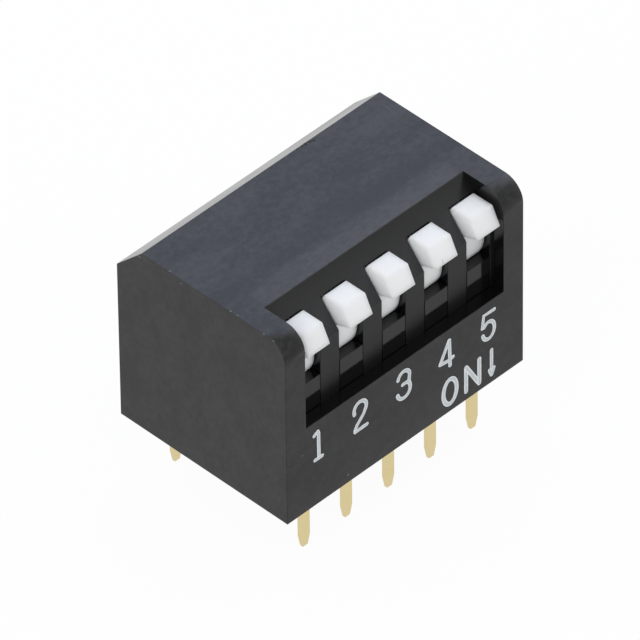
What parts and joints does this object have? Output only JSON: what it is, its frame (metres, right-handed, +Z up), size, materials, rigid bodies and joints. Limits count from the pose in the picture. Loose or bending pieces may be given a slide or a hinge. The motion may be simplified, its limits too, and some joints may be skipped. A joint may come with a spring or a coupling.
{
  "type": "dip switch",
  "caption": "Piano-style dip switch: black moulded case with a row of white tipping levers in a stepped recess and two rows of plated pins for a circuit board.",
  "frame": {"origin": "centre of the two rows of pins, in the plane of the case's underside, where it sits on the circuit board", "axes": "+X along the row from pole 1 to pole 5, -Y out of the front with the levers, +Z up away from the board"},
  "size_m": [0.0142, 0.0099, 0.0132],
  "materials": {
    "cover_black": "black glass-filled moulding, semi-gloss",
    "base_black": "smooth black moulding",
    "lever_white": "white nylon, soft satin",
    "terminal_gold": "thin pale gold plating on copper alloy strip",
    "contact_metal": "bright gold-plated spring strip"
  },
  "bodies": {
    "housing": {"cover": "cover_black", "base": "base_black", "terminal_front_1": "terminal_gold", "terminal_front_2": "terminal_gold", "terminal_front_3": "terminal_gold", "terminal_front_4": "terminal_gold", "terminal_front_5": "terminal_gold", "terminal_rear_1": "terminal_gold", "terminal_rear_2": "terminal_gold", "terminal_rear_3": "terminal_gold", "terminal_rear_4": "terminal_gold", "terminal_rear_5": "terminal_gold"},
    "pole_1": {"lever_1": "lever_white", "moving_contact_1": "contact_metal"},
    "pole_2": {"lever_2": "lever_white", "moving_contact_2": "contact_metal"},
    "pole_3": {"lever_3": "lever_white", "moving_contact_3": "contact_metal"},
    "pole_4": {"lever_4": "lever_white", "moving_contact_4": "contact_metal"},
    "pole_5": {"lever_5": "lever_white", "moving_contact_5": "contact_metal"}
  },
  "joints": [
    {"name": "lever_1_tip", "type": "hinge", "parent": "housing", "child": "pole_1", "pos_m": [-0.00508, -0.0022, 0.0073], "axis": [1, 0, 0], "range_deg": [0, 40]},
    {"name": "lever_2_tip", "type": "hinge", "parent": "housing", "child": "pole_2", "pos_m": [-0.00254, -0.0022, 0.0073], "axis": [1, 0, 0], "range_deg": [0, 40]},
    {"name": "lever_3_tip", "type": "hinge", "parent": "housing", "child": "pole_3", "pos_m": [0, -0.0022, 0.0073], "axis": [1, 0, 0], "range_deg": [0, 40]},
    {"name": "lever_4_tip", "type": "hinge", "parent": "housing", "child": "pole_4", "pos_m": [0.00254, -0.0022, 0.0073], "axis": [1, 0, 0], "range_deg": [0, 40]},
    {"name": "lever_5_tip", "type": "hinge", "parent": "housing", "child": "pole_5", "pos_m": [0.00508, -0.0022, 0.0073], "axis": [1, 0, 0], "range_deg": [0, 40]}
  ]
}
